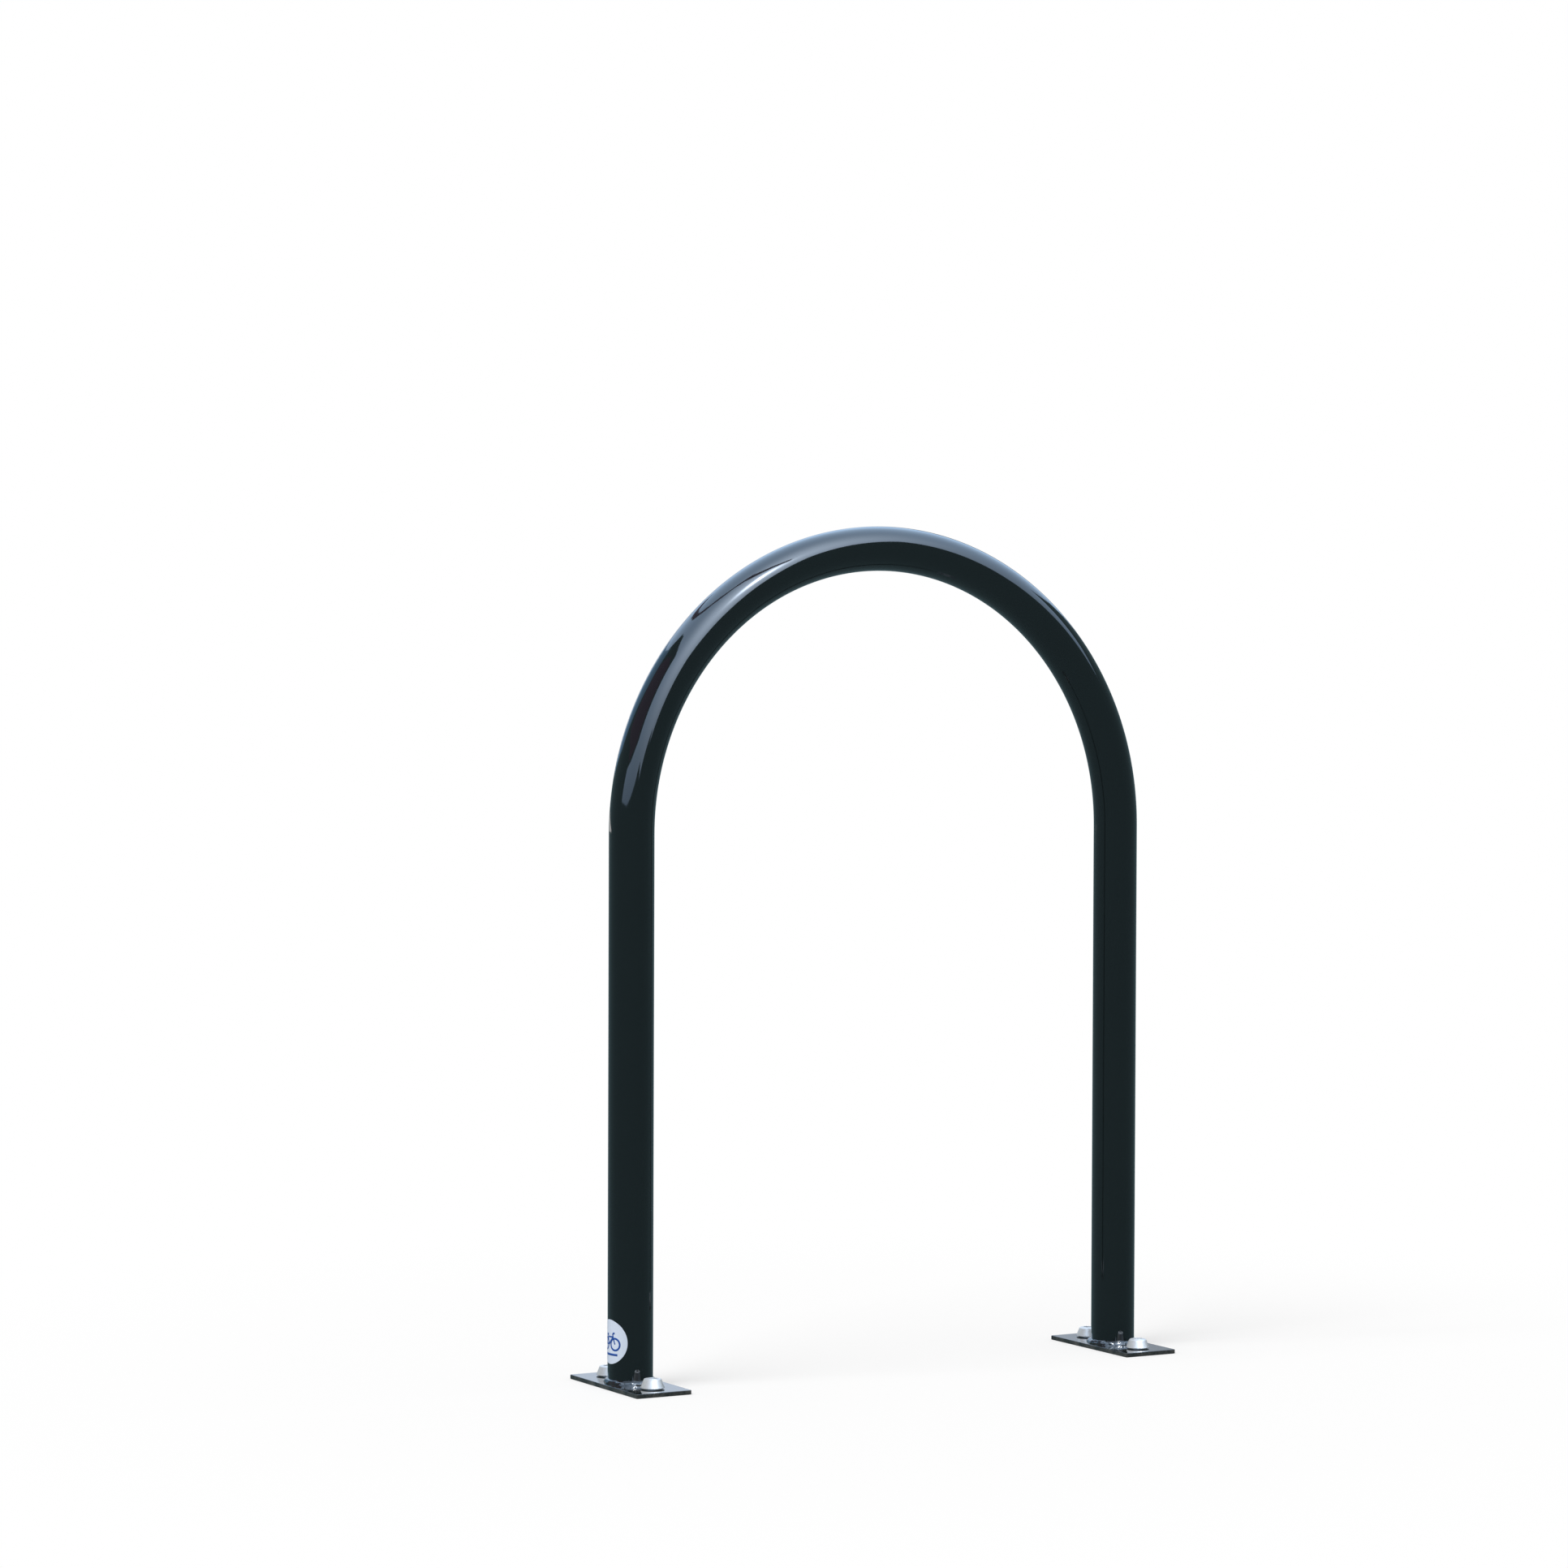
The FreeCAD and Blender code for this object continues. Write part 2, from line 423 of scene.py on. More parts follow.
def hoop_rings(radius):
    """Rings of that radius along the centre line, from the left foot to the right foot."""
    stations = [(Vector((-leg_offset, 0, pipe_low.z)), pi)]
    for k in range(bend_steps + 1):
        turn = pi * (1 - k / bend_steps)
        centre = Vector((leg_offset * cos(turn), 0, spring_height + leg_offset * sin(turn)))
        stations.append((centre, turn))
    stations.append((Vector((leg_offset, 0, pipe_low.z)), 0))
    frontwards = Vector((0, -1, 0))
    rings = []
    for centre, turn in stations:
        outwards = Vector((cos(turn), 0, sin(turn)))
        rings.append([centre + radius * (cos(a) * outwards + sin(a) * frontwards)
                      for a in full_turn(ring_points)])
    return rings


outer_rings = hoop_rings(pipe_radius)
bore_rings = hoop_rings(pipe_radius - pipe_wall)
mesh = mesh_from_rows("bent_pipe", outer_rings + bore_rings[::-1])
put(mesh, black_coat, origin, "hoop_pipe")
print("the bent pipe has", len(mesh.polygons), "faces")

# %% [markdown]
# Each foot plate is a length of flat bar, sheared off and drilled, with its
# corners and edges just broken so that the powder covers them. It could be a
# cube with a bevel, but the holes need their own rounded rims, so the outline
# and the holes are drawn as loops, stepped round the edge and then filled.

# %% The foot plates
plate_edge = 0.7 * mm
plate_corner = 1.6 * mm
edge_steps = 5
front_anchor_y = (nut_low.y + nut_high.y) / 2
drain_radius = 6.35 * mm
anchor_hole_radius = 5.55 * mm
hole_points = 48


def loop_faces(work, loops):
    """Quads between neighbouring loops of as many vertices."""
    for low, high in zip(loops, loops[1:]):
        for j in range(len(low)):
            k = (j + 1) % len(low)
            work.faces.new((low[j], low[k], high[k], high[j]))


def foot_plate_mesh(name):
    """A flat bar with broken edges, two anchor holes and a drain hole."""
    half_x = (plate_high.x - plate_low.x) / 2
    half_y = (plate_high.y - plate_low.y) / 2
    levels = []
    for k in range(edge_steps + 1):
        tilt = pi / 2 * k / edge_steps
        levels.append((plate_edge * (1 - sin(tilt)), plate_edge * (1 - cos(tilt))))
    levels += [(inset, plate_top - height) for inset, height in reversed(levels)]
    work = bmesh.new()
    outline = []
    for inset, height in levels:
        x, y, r = half_x - inset, half_y - inset, plate_corner
        points = rounded([(x, y, r), (-x, y, r), (-x, -y, r), (x, -y, r)])
        outline.append([work.verts.new((p.x, p.y, height)) for p in points])
    rims = [outline]
    for centre, radius in ((0, drain_radius), (front_anchor_y, anchor_hole_radius),
                           (-front_anchor_y, anchor_hole_radius)):
        hole = []
        for inset, height in levels:
            wide = radius + inset
            hole.append([work.verts.new((wide * cos(a), centre - wide * sin(a), height))
                         for a in full_turn(hole_points)])
        rims.append(hole)
    for rim in rims:
        loop_faces(work, rim)
    for end in (0, -1):
        edges = []
        for rim in rims:
            loop = rim[end]
            edges += [work.edges.get((loop[j - 1], loop[j])) for j in range(len(loop))]
        bmesh.ops.triangle_fill(work, edges=edges, use_beauty=True)
    bmesh.ops.recalc_face_normals(work, faces=work.faces)
    mesh = mesh_from_work(name, work)
    shade_smooth(mesh)
    return mesh


for side, x in feet:
    mesh = foot_plate_mesh(side + "_flat_bar")
    put(mesh, plate_coat, (x, 0, 0), side + "_foot_plate")
    print(side, "flat bar has", len(mesh.polygons), "faces")

# %% [markdown]
# The pipe is joined to the plate by a fillet weld, laid by hand in short pools
# that freeze one on the next like tipped-over coins, steep on one side and long
# on the other. Powder coat rounds the ripples but doesn't hide them, and they
# throw back the brightest sparks on the whole foot. A bump map would leave the
# edge of the bead straight, so the ripples are real shape: a bead that swells
# and sinks as it goes round. The right one was laid more roughly than the left.

# %% The weld beads
weld_leg = weld_high.z - weld_low.z
bead_bite = 0.15 * mm
bead_crown = 1.2 * mm
bead_wander = 1.1 * mm
bead_steps = 900
bead_across = 20

# A skew below 1 puts a ripple's crest near its start. The lead moves its middle
# ahead of its ends, and the stray is how far the hand left even steps, both in
# radians of a ripple.
ripple_height = 0.4 * mm
ripple_pitch = 5.5 * mm
ripple_skew = 0.5
ripple_mean = 0.6
ripple_lead = 1.5
ripple_stray = 1.2
usual_strength = 0.75
strength_swing = 0.5
lump_height = 0.9 * mm
lump_size = 6.5 * mm
lump_change = 2.2

# How quickly the bead's reach along the plate, its climb up the pipe, and its
# ripples' strength and stray change on the way round
reach_pace = 2.3
climb_pace = 2.9
strength_pace = 4.0
stray_pace = 6.0
other_noise = Vector((7, 0, 0))

# Where in the noise each bead lies, and how rough its ripples are
hands = {"left": (75.9, 0.9), "right": (59.6, 1.3)}


def weld_bead_mesh(name, seed, vigour):
    """A ring of weld metal round the foot of a leg."""
    middle_radius = pipe_radius + weld_leg / 2
    ripples = round(2 * pi * middle_radius / ripple_pitch)
    usual_leg = weld_leg - bead_wander / 2
    rows = []
    for turn in full_turn(bead_steps):
        where = Vector((cos(turn), sin(turn), seed))
        reach = usual_leg + bead_wander * noise.noise(where * reach_pace)
        climb = usual_leg + bead_wander * noise.noise(where * climb_pace + other_noise)
        strength = usual_strength + strength_swing * noise.noise(where * strength_pace)
        stray = ripple_stray * noise.noise(where * stray_pace)
        row = []
        for k in range(bead_across + 1):
            up = k / bead_across
            bow = sin(pi * up)
            phase = ripples * turn + ripple_lead * bow + stray
            ripple = sin(pi * (phase / (2 * pi) % 1.0) ** ripple_skew)
            rise = Vector((0, 0, lump_change * up))
            lump = noise.noise(where * pipe_radius / lump_size + rise)
            lift = ripple_height * strength * (ripple - ripple_mean) + lump_height * lump
            lift = bow * (bead_crown + vigour * lift)
            radius = pipe_radius + reach * (1 - up) + lift / sqrt(2)
            height = plate_top + climb * up + lift / sqrt(2)
            row.append((radius * cos(turn), radius * sin(turn), height))
        for radius, height in ((pipe_radius - bead_bite, plate_top + climb),
                               (pipe_radius - bead_bite, plate_top - bead_bite),
                               (pipe_radius + reach, plate_top - bead_bite)):
            row.append((radius * cos(turn), radius * sin(turn), height))
        rows.append(row)
    print(name, "has", ripples, "ripples,", ripple_pitch / mm, "mm apart")
    return mesh_from_rows(name, rows)


for side, x in feet:
    mesh = weld_bead_mesh(side + "_weld_bead", *hands[side])
    put(mesh, weld_coat, (x, 0, 0), side + "_weld")

# %% [markdown]
# The cone nuts are what makes the rack hard to steal. Each is tightened by a
# hexagon that shears off at a set torque, and what stays is a smooth cone that
# no spanner grips, with a low ragged ring where the neck broke. The outline runs
# from the bore out along the base, up the cone and back over the ring, and is
# turned. A set of such nuts differs most in how sharply the die filled the top
# edge, so each gets its own radius there.

# %% The cone nuts
nut_radius = (nut_high.x - nut_low.x) / 2
nut_height = nut_high.z - nut_low.z
nut_top_radius = 9.2 * mm
nut_land = 0.5 * mm
bore_radius = 4.85 * mm
countersink = 0.9 * mm
stub_radius = 6.1 * mm
stub_height = 0.5 * mm
base_edge = 0.15 * mm
land_edge = 0.25 * mm
stub_edge = 0.2 * mm
bore_edge = 0.3 * mm
shoulders = {"left_front": 0.6 * mm, "left_back": 1.2 * mm,
             "right_front": 2.6 * mm, "right_back": 1.8 * mm}
corners = [(side + "_" + row, Vector((x, y, 0)))
           for side, x in feet
           for row, y in (("front", front_anchor_y), ("back", -front_anchor_y))]


def cone_nut_mesh(name, shoulder):
    """A cone nut standing on its base, with that radius round its top edge."""
    face = nut_height - stub_height
    outline = rounded([
        (bore_radius, countersink, 0),
        (bore_radius + countersink, 0, base_edge),
        (nut_radius, 0, base_edge),
        (nut_radius, nut_land, land_edge),
        (nut_top_radius, face, shoulder),
        (stub_radius, face, stub_edge),
        (stub_radius - stub_height, nut_height, stub_edge),
        (bore_radius, nut_height, bore_edge),
    ])
    return turned(name, outline)


for corner, place in corners:
    mesh = cone_nut_mesh(corner + "_cone_nut", shoulders[corner])
    place = place + Vector((0, 0, nut_low.z))
    put(mesh, nut_zinc, place, corner + "_security_nut")
print("four cone nuts,", round(2 * nut_radius / mm, 1), "mm wide and",
      round(nut_height / mm, 1), "mm high")

# %% [markdown]
# The washers are punched from sheet. The punch pulls the upper edge round and
# leaves the lower one sharp, so the two edges get different radii.

# %% The washers
washer_radius = (washer_high.x - washer_low.x) / 2
washer_thickness = washer_high.z - washer_low.z
washer_hole_radius = 5.15 * mm
sharp_edge = 0.1 * mm
drawn_edge = 0.5 * mm
hole_edge = 0.3 * mm


def washer_mesh(name):
    """A punched washer standing on its sharp side."""
    outline = rounded([
        (washer_hole_radius, 0, sharp_edge),
        (washer_radius, 0, sharp_edge),
        (washer_radius, washer_thickness, drawn_edge),
        (washer_hole_radius, washer_thickness, hole_edge),
    ])
    return turned(name, outline)


for corner, place in corners:
    mesh = washer_mesh(corner + "_punched_washer")
    place = place + Vector((0, 0, washer_low.z))
    put(mesh, washer_zinc, place, corner + "_washer")
print("four washers,", round(2 * washer_radius / mm, 1), "mm wide and",
      round(washer_thickness / mm, 1), "mm thick")

# %% [markdown]
# A wedge anchor's stud is a rod with a rolled thread at the top, a plain shank,
# and a waisted neck above a flared cone at the foot. The thread is a single
# groove that winds round the rod: a point's radius depends only on how far it
# lies from the groove, counted along the rod and round it together. So it is
# drawn as a fine grid whose radius follows that one rule.

# %% The threaded studs
inch = 25.4 * mm
threads_per_inch = 16
thread_pitch = inch / threads_per_inch
thread_depth = 0.8 * mm
thread_length = 36 * mm
groove_half_width = 0.42
runout_length = 2 * thread_pitch
top_chamfer = 0.9 * mm
tip_chamfer = 0.8 * mm
shank_radius = (stud_high.x - stud_low.x) / 2
neck_radius = 3.55 * mm
neck_length = 14.05 * mm
cone_land = 2.0 * mm
cone_length = 8.5 * mm
thread_turn_points = 48
rows_per_pitch = 14


def stud_mesh(name):
    """A wedge anchor's stud with a rolled thread, already at its height in the rack."""
    rows = [level_ring(0, stud_high.z, thread_turn_points)]
    thread_foot = stud_high.z - thread_length
    count = round(thread_length / thread_pitch * rows_per_pitch)
    for i in range(count + 1):
        height = stud_high.z - thread_length * i / count
        runout = min(1.0, (height - thread_foot) / runout_length)
        row = []
        for j, turn in enumerate(full_turn(thread_turn_points)):
            from_groove = (height / thread_pitch - j / thread_turn_points) % 1.0
            groove = max(0.0, 1 - abs(from_groove - 0.5) / groove_half_width)
            radius = shank_radius - thread_depth * groove * runout
            radius = min(radius, shank_radius - top_chamfer + stud_high.z - height)
            row.append((radius * cos(turn), radius * sin(turn), height))
        rows.append(row)
    tip = stud_low.z
    cone_top = tip + cone_land + cone_length
    neck_top = cone_top + neck_length
    below = [(shank_radius, neck_top + shank_radius - neck_radius), (neck_radius, neck_top),
             (neck_radius, cone_top), (shank_radius, tip + cone_land),
             (shank_radius, tip + tip_chamfer), (shank_radius - tip_chamfer, tip), (0, tip)]
    rows += [level_ring(radius, height, thread_turn_points) for radius, height in below]
    return mesh_from_rows(name, rows, close_rows=False)


for corner, place in corners:
    mesh = stud_mesh(corner + "_threaded_stud")
    put(mesh, washer_zinc, place, corner + "_anchor_stud")
print("thread pitch is", round(thread_pitch / mm, 3), "mm")

# %% [markdown]
# Round each stud's neck sits a split clip of spring steel, hidden in the slab.
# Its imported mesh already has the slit, the tongues and the two collars, so the
# mesh stays as it is and only gets its steel.

# %% The expansion clips
for corner, place in corners:
    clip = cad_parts[corner + "_expansion_clip"]
    clip.data.materials.clear()
    clip.data.materials.append(clip_steel)
print("four expansion clips have their steel")

# %% [markdown]
# The label is a flat disc rolled on to the leg, so it keeps its size along the
# surface: a point that lies a distance across the disc goes that far round the
# pipe. It is drawn in its own flat coordinates, across and up, and one function
# wraps any flat point on to the leg. The film has a real thickness and an edge.

# %% The round label
label_centre = (label_low.z + label_high.z) / 2
label_radius = (label_high.z - label_low.z) / 2
film_thickness = -leg_offset - pipe_radius - label_low.x
film_edge = 0.1 * mm
label_rings = 20
label_spokes = 96


def on_leg(across, up, lift):
    """Where a flat point of the label lies on the leg's outer side, lifted off the paint."""
    turn = across / pipe_radius
    radius = pipe_radius + lift
    return Vector((-leg_offset - radius * cos(turn), -radius * sin(turn), label_centre + up))


def label_mesh(name):
    """The round film, wrapped on the leg: its face, its thin edge and its underside."""
    steps = [(label_radius - film_edge) * r / label_rings for r in range(label_rings + 1)]
    profile = [(out, film_thickness) for out in steps]
    profile += [(label_radius, film_thickness / 2), (label_radius, 0.0)]
    profile += [(out, 0.0) for out in reversed(steps)]
    rows = [[on_leg(out * cos(a), out * sin(a), lift) for a in full_turn(label_spokes)]
            for out, lift in profile]
    return mesh_from_rows(name, rows, close_rows=False)


put(label_mesh("vinyl_label"), label_vinyl, origin, "round_label")
print("the label is", round(2 * label_radius / mm, 1), "mm wide and",
      round(film_thickness / mm, 2), "mm thick")

# %% [markdown]
# The print on the label is a plain bicycle sign over a bar, with no words. Each
# line of it is a thin strip of ink: rings for the wheels and short strokes for
# the frame, laid on the film a few hundredths of a millimetre proud.

# %% The print on the label
ink_thickness = 0.03 * mm
wheel_stroke = 2.1 * mm
frame_stroke = 0.8 * wheel_stroke
wheel_radius = 6.2 * mm
rear_hub = Vector((-8.6, -2.2)) * mm
front_hub = Vector((8.6, -2.2)) * mm
crank = Vector((-1.2, -2.6)) * mm
seat_joint = Vector((-3.9, 5.2)) * mm
head_joint = Vector((5.9, 5.6)) * mm
saddle = Vector((-4.6, 7.8)) * mm
saddle_back = saddle - Vector((2.4 * mm, 0))
saddle_front = saddle + Vector((2.2 * mm, 0))
stem = Vector((5.2, 8.8)) * mm
handlebar_end = stem + Vector((3.0, 0.9)) * mm
bar_left = Vector((-12, -13.2)) * mm
bar_right = Vector((12, -13.2)) * mm
bar_stroke = 2.4 * mm
stroke_steps = 10
bar_steps = 24
wheel_steps = 72


def ribbon(path, width, closed):
    """A strip of ink along a flat path, as rows of four points round its section."""
    rows = []
    count = len(path)
    for i, here in enumerate(path):
        before = path[i - 1] if closed or i > 0 else here
        after = path[(i + 1) % count] if closed or i < count - 1 else here
        along = (after - before).normalized()
        side = Vector((-along.y, along.x)) * width / 2
        left, right = here + side, here - side
        rows.append([on_leg(left.x, left.y, film_thickness),
                     on_leg(left.x, left.y, film_thickness + ink_thickness),
                     on_leg(right.x, right.y, film_thickness + ink_thickness),
                     on_leg(right.x, right.y, film_thickness)])
    return rows


def stroke_path(start, end, steps=stroke_steps):
    """Points along a straight stroke."""
    return [start.lerp(end, k / steps) for k in range(steps + 1)]


def wheel_path(hub):
    """Points round a wheel."""
    return [hub + wheel_radius * Vector((cos(a), sin(a))) for a in full_turn(wheel_steps)]


def close_ends(mesh):
    """Fills the open ends of a strip."""
    work = bmesh.new()
    work.from_mesh(mesh)
    bmesh.ops.holes_fill(work, edges=[e for e in work.edges if e.is_boundary], sides=4)
    bmesh.ops.recalc_face_normals(work, faces=work.faces)
    work.to_mesh(mesh)
    work.free()


strips = [(wheel_path(hub), wheel_stroke, True) for hub in (rear_hub, front_hub)]
for start, end in ((rear_hub, crank), (crank, seat_joint), (seat_joint, rear_hub),
                   (crank, head_joint), (seat_joint, head_joint), (head_joint, front_hub),
                   (seat_joint, saddle), (head_joint, stem)):
    strips.append((stroke_path(start, end), frame_stroke, False))
strips.append((stroke_path(saddle_back, saddle_front), wheel_stroke, False))
strips.append((stroke_path(stem, handlebar_end), wheel_stroke, False))
strips.append((stroke_path(bar_left, bar_right, bar_steps), bar_stroke, False))

ink = bmesh.new()
for path, width, closed in strips:
    strip = mesh_from_rows("strip", ribbon(path, width, closed), close_rows=closed)
    if not closed:
        close_ends(strip)
    ink.from_mesh(strip)
    bpy.data.meshes.remove(strip)
print_mesh = mesh_from_work("label_print", ink)
print_mesh.materials.append(label_ink)
label_print = add_object("label_print", print_mesh)
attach(label_print, "root")
print("the print has", len(strips), "strips of ink")

# %% [markdown]
# The floor is a pale disc that keeps the soft shadow of the feet. Further out it
# melts into the white of the background, so no edge shows. Both are plain white
# to the eye, and also in gloss and through glass, but give less light than that
# to matt surfaces.

# %% Floor and background
floor_radius = 1.5
floor_points = 128
fade = (0.6, 1.3)
fade_whiteness = (0.5, 1.0)
white = linear("#ffffff")
air_strength = 0.62


def seen_by_eye(tree):
    """1 for what the camera sees, also in gloss and through glass, and 0 for other light."""
    path = add_node(tree, "ShaderNodeLightPath").outputs
    seen = calculate(tree, "MAXIMUM", path["Is Camera Ray"], path["Is Glossy Ray"])
    return calculate(tree, "MAXIMUM", seen, path["Is Transmission Ray"])


def mixed_light(tree, share, first, second):
    """The first shader where share is 0 and the second where it is 1."""
    return add_node(tree, "ShaderNodeMixShader", {
        0: share, 1: first, 2: second}).outputs["Shader"]


def white_surround(tree, strength):
    """Even white light from every side."""
    return add_node(tree, "ShaderNodeBackground", {
        "Color": white, "Strength": strength}).outputs["Background"]


def pale_floor_material():
    """Pale and matt near the rack, plain white further out, for the eye and for reflections."""
    material, tree = new_material("pale_studio_floor")
    distance = add_node(tree, "ShaderNodeVectorMath", {
        0: own_place(tree)}, operation="LENGTH").outputs["Value"]
    whiteness = spread(tree, distance, fade, fade_whiteness, interpolation_type="SMOOTHSTEP")
    amount = calculate(tree, "MULTIPLY", whiteness, seen_by_eye(tree))
    matt = add_node(tree, "ShaderNodeBsdfDiffuse", {"Color": linear("#fafafa")}).outputs["BSDF"]
    glow = add_node(tree, "ShaderNodeEmission", {"Color": white}).outputs["Emission"]
    add_node(tree, "ShaderNodeOutputMaterial", {"Surface": mixed_light(tree, amount, matt, glow)})
    return material


work = bmesh.new()
bmesh.ops.create_circle(work, cap_ends=True, segments=floor_points, radius=floor_radius)
floor_mesh = mesh_from_work("studio_floor", work)
floor_mesh.materials.append(pale_floor_material())
floor = add_object("studio_floor", floor_mesh)

world = bpy.data.worlds.new("studio")
world.use_nodes = True
bpy.context.scene.world = world
tree = world.node_tree
tree.nodes.clear()
air = white_surround(tree, air_strength)
backdrop = white_surround(tree, 1.0)
add_node(tree, "ShaderNodeOutputWorld", {
    "Surface": mixed_light(tree, seen_by_eye(tree), air, backdrop)})
print("the floor is", 2 * floor_radius, "m wide")

# %% [markdown]
# The light itself is plain: an even pale surround, and one lamp above and to the
# left, as wide as a softbox that stands close. Together they show a white sheet
# as white. Alone they would leave a gloss black pipe without any form, because
# such a pipe shows only what it mirrors. The usual remedy for black gloss is a
# room of cards round it, and so this scene builds one. The cards show in
# reflections alone.

# %% The soft lamp
soft_lamp_width = 36
soft_lamp_strength = 1.7
soft_lamp_azimuth = -75
soft_lamp_elevation = 50


def direction(azimuth, elevation):
    """A unit vector; azimuth 0 is the rack's front and 90 its right, both in degrees."""
    a, e = radians(azimuth), radians(elevation)
    return Vector((sin(a) * cos(e), -cos(a) * cos(e), sin(e)))


def facing_rack(where):
    """The rotation of a lamp that shines on the rack from that direction."""
    return where.to_track_quat("Z", "Y").to_euler()


soft_lamp = add_object("soft_lamp", bpy.data.lights.new("soft_lamp", "SUN"))
soft_lamp.data.angle = radians(soft_lamp_width)
soft_lamp.data.energy = soft_lamp_strength
soft_lamp.rotation_euler = facing_rack(direction(soft_lamp_azimuth, soft_lamp_elevation))
soft_lamp.visible_camera = False
soft_lamp.visible_glossy = False
print("the soft lamp is", soft_lamp_width, "degrees wide")

# %% [markdown]
# The largest card is a sky. A real one is pale near the horizon, bluer above and
# much brighter round the sun, even behind thin cloud, so its glow grows with the
# cosine of the angle from the sun. Towards the far side it is a low grey haze,
# which is what the flat plates mirror. A small hard lamp, a little warmer than
# the sky, stands where the sky is brightest. It is left out of matt light, so it
# casts no hard shadow, and shows only in gloss and metal: as the glint on the
# arch, the sparks on the welds and the bright side of the nuts.

# %% The painted sky
sun = direction(5, 46)
far_side_right = direction(60, 0)
blue_heights = (0.1, 0.65)
blue_strengths = (1.0, 1.9)
haze_narrowness = 9.0
haze_strength = 3.2
disc_narrowness = 250.0
disc_strength = 16.0
far_shade_range = (0.0, 0.1)
lamp_distance = 25
lamp_half_angle = radians(1.5)
lamp_radiance = 220


def glowing(tree, colour, strength):
    """A glow; its colour and strength may be values or outputs."""
    return add_node(tree, "ShaderNodeEmission", {
        "Color": colour, "Strength": strength}).outputs["Emission"]


def card_material(name, glow):
    """A card's material; glow is a function that gets the node tree and returns its shader."""
    material, tree = new_material(name)
    add_node(tree, "ShaderNodeOutputMaterial", {"Surface": glow(tree)})
    material.cycles.emission_sampling = "NONE"
    return material


def ray_to(tree, towards):
    """The cosine of the angle between a point of the card, seen from the rack, and a direction."""
    ray = add_node(tree, "ShaderNodeVectorMath", {
        0: own_place(tree)}, operation="NORMALIZE").outputs["Vector"]
    dot = add_node(tree, "ShaderNodeVectorMath", {0: ray, 1: towards}, operation="DOT_PRODUCT")
    return calculate(tree, "MAXIMUM", dot.outputs["Value"], 0.0)


def sky_glow(tree):
    """Blue above, dimmer near the horizon, bright and white round the sun."""
    height = ray_to(tree, Vector((0, 0, 1)))
    air = glowing(tree, linear("#bfddff"), spread(tree, height, blue_heights, blue_strengths))
    near_sun = ray_to(tree, sun)
    haze = calculate(tree, "POWER", near_sun, haze_narrowness)
    haze = calculate(tree, "MULTIPLY", haze, haze_strength)
    disc = calculate(tree, "POWER", near_sun, disc_narrowness)
    both = calculate(tree, "MULTIPLY_ADD", disc, disc_strength, haze)
    glow = glowing(tree, linear("#dfedff"), both)
    return add_node(tree, "ShaderNodeAddShader", {0: air, 1: glow}).outputs["Shader"]


def far_haze_glow(tree):
    """Grey, and darker towards the right."""
    shade = spread(tree, ray_to(tree, far_side_right), far_shade_range, (0.0, 1.0))
    return glowing(tree, blend(tree, shade, linear("#d3e1f4"), linear("#868e97")), 1.0)


hard_lamp = add_object("hard_lamp", bpy.data.lights.new("hard_lamp", "AREA"))
hard_lamp.data.shape = "DISK"
hard_lamp.data.color = linear("#fff4e6")[:3]
hard_lamp.data.size = 2 * lamp_distance * tan(lamp_half_angle)
lamp_area = pi * (hard_lamp.data.size / 2) ** 2
hard_lamp.data.energy = lamp_radiance * pi * lamp_area
hard_lamp.location = lamp_distance * sun
hard_lamp.rotation_euler = facing_rack(sun)
hard_lamp.visible_diffuse = False
hard_lamp.visible_camera = False
print("the painted sun stands at", [round(v, 2) for v in sun])

# %% [markdown]
# The other cards are cloths, mostly dark green. Each is a patch of a sphere
# between a lower and an upper edge, given as azimuths and elevations like a
# skyline, and cut unevenly, because a gloss that mirrors something uneven looks
# real and a straight edge in it looks like a lamp. Cards that overlap stand at
# different distances, and the nearer one hides the farther one.

# %% Cards that show only in reflections
card_rows = 8
sky_distance = 30
haze_distance = 28
cloth_distance = 20
patch_distance = 19
strip_distance = 18
ground_cloth_height = 0.3 * mm


def only_mirrored(name, verts, faces, material):
    """A stage piece that is seen in reflections and nowhere else."""
    mesh = bpy.data.meshes.new(name)
    mesh.from_pydata(verts, [], faces)
    mesh.materials.append(material)
    patch = add_object(name, mesh)
    patch.visible_camera = False
    patch.visible_diffuse = False
    patch.visible_shadow = False


def height_at(edge, azimuth):
    """The elevation at an azimuth of an edge given as (azimuth, elevation) points."""
    for (a0, e0), (a1, e1) in zip(edge, edge[1:]):
        if a0 <= azimuth <= a1:
            return e0 + (e1 - e0) * (azimuth - a0) / (a1 - a0)


def card(name, material, low_edge, high_edge, distance):
    """A patch of a sphere round the rack; both edges start and end at the same azimuths."""
    first, last = high_edge[0][0], high_edge[-1][0]
    columns, row_points = round(last - first), card_rows + 1
    verts = []
    for i in range(columns + 1):
        azimuth = first + (last - first) * i / columns
        low, high = height_at(low_edge, azimuth), height_at(high_edge, azimuth)
        verts += [distance * direction(azimuth, low + (high - low) * j / card_rows)
                  for j in range(row_points)]
    faces = []
    for i in range(columns):
        for j in range(card_rows):
            here, beyond = i * row_points + j, (i + 1) * row_points + j
            faces.append((here, beyond, beyond + 1, here + 1))
    only_mirrored(name, verts, faces, material)


def cloth(name, hex_colour):
    """A cloth's material, with an even faint glow."""
    return card_material(name, lambda tree: glowing(tree, linear(hex_colour), 1.0))


green_cloth = cloth("dark_green_cloth", "#52676d")
plum_cloth = cloth("dark_plum_cloth", "#6c6174")
slate_cloth = cloth("slate_blue_cloth", "#81aace")
white_cloth = cloth("white_cloth", "#ffffff")

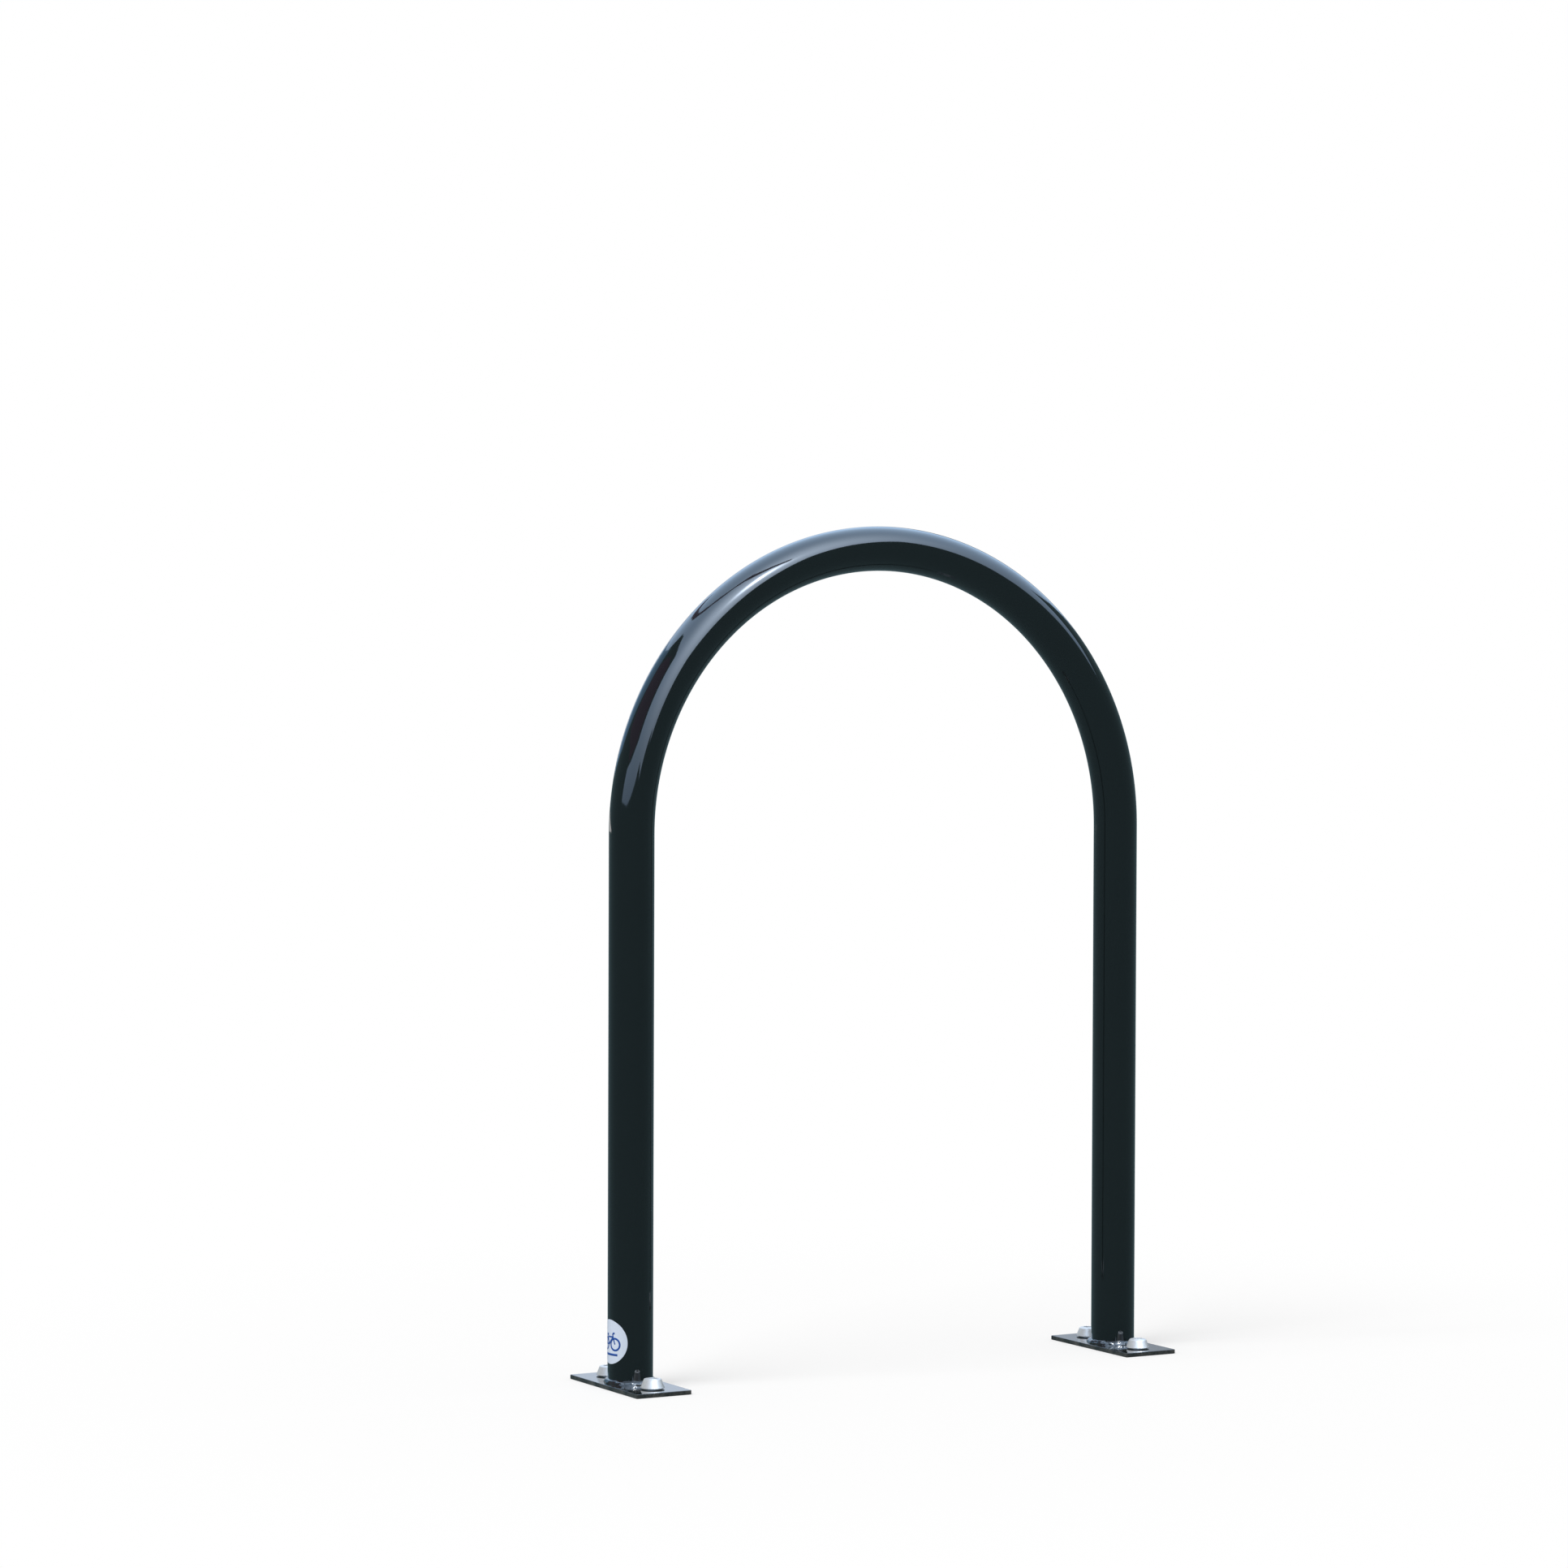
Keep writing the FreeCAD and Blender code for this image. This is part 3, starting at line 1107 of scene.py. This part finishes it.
card("sky_card", card_material("painted_sky_card", sky_glow),
     [(-180, -1), (180, -1)],
     [(-180, 90), (180, 90)],
     sky_distance)
card("far_haze_card", card_material("grey_haze_card", far_haze_glow),
     [(130, -1), (180, -1)],
     [(130, 12), (140, 24), (180, 24)],
     haze_distance)
card("low_cloth", green_cloth,
     [(-92, -1), (180, -1)],
     [(-92, 9), (-75, 8), (-60, 7), (-45, 8), (-30, 10), (-25, 13), (-15, 8), (-8, 14), (-2, 10),
      (1, 21), (12, 22), (18, 26), (22, 31), (38, 33), (46, 20), (58, 18), (65, 14), (75, 20),
      (78, 31), (90, 30), (105, 27), (120, 20), (130, 13), (140, 5), (180, 5)],
     cloth_distance)
card("tall_cloth", green_cloth,
     [(-180, -1), (-92, -1), (-84, 18), (-70, 20), (-58, 24)],
     [(-180, 10), (-165, 26), (-150, 38), (-135, 48), (-120, 56), (-100, 58), (-85, 56),
      (-70, 53), (-58, 49)],
     cloth_distance)
card("plum_patch", plum_cloth,
     [(-128, 26), (-95, 24), (-84, 20), (-64, 24)],
     [(-128, 44), (-110, 50), (-85, 52), (-64, 47)],
     patch_distance)
card("slate_patch", slate_cloth,
     [(-180, 5), (-150, 16), (-132, 36)],
     [(-180, 24), (-150, 40), (-132, 48)],
     patch_distance)
card("arched_strip", plum_cloth,
     [(-180, 34), (-150, 51), (-120, 63), (-90, 70), (-45, 73), (-25, 71), (-8, 65), (5, 58),
      (15, 49)],
     [(-180, 38), (-150, 54), (-120, 66), (-90, 73), (-45, 76), (-25, 76), (-8, 70), (5, 63),
      (15, 54)],
     patch_distance)
card("white_strip", white_cloth,
     [(-180, -2), (-152, -1)],
     [(-180, 2), (-152, 0.5)],
     strip_distance)

rim = [cloth_distance * direction(azimuth, 0) + Vector((0, 0, ground_cloth_height))
       for azimuth in range(-180, 180, 10)]
only_mirrored("ground_cloth", rim, [range(len(rim))], green_cloth)
print("the nearest card stands", strip_distance, "m away")

# %% [markdown]
# The camera stands a little to the left of the rack's front, almost level with
# its middle, and far enough away that a long lens is needed. Its place was
# worked out from the outline of the hoop and the corners of the plates.

# %% Camera
camera_azimuth = -29.34
camera_elevation = 1.55
camera_roll = 0.2
camera_distance = 4.972
camera_target = Vector((-0.1207, 0, 0.636))
lens_mm = 106.3
sensor_mm = 36
farthest_seen = 100

back = direction(camera_azimuth, camera_elevation)
camera = add_object("camera", bpy.data.cameras.new("camera"))
camera.data.lens = lens_mm
camera.data.sensor_width = sensor_mm
camera.data.clip_end = farthest_seen
level_view = back.to_track_quat("Z", "Y").to_matrix()
view = level_view @ Matrix.Rotation(radians(camera_roll), 3, "Z")
camera.matrix_world = Matrix.Translation(camera_target + back * camera_distance) @ view.to_4x4()
bpy.context.scene.camera = camera
bpy.context.scene.view_settings.view_transform = "Standard"
print("camera at", [round(v, 3) for v in camera.location])

# %% [markdown]
# Last, the scene is brought up to date.

# %% Finish
bpy.context.view_layer.update()
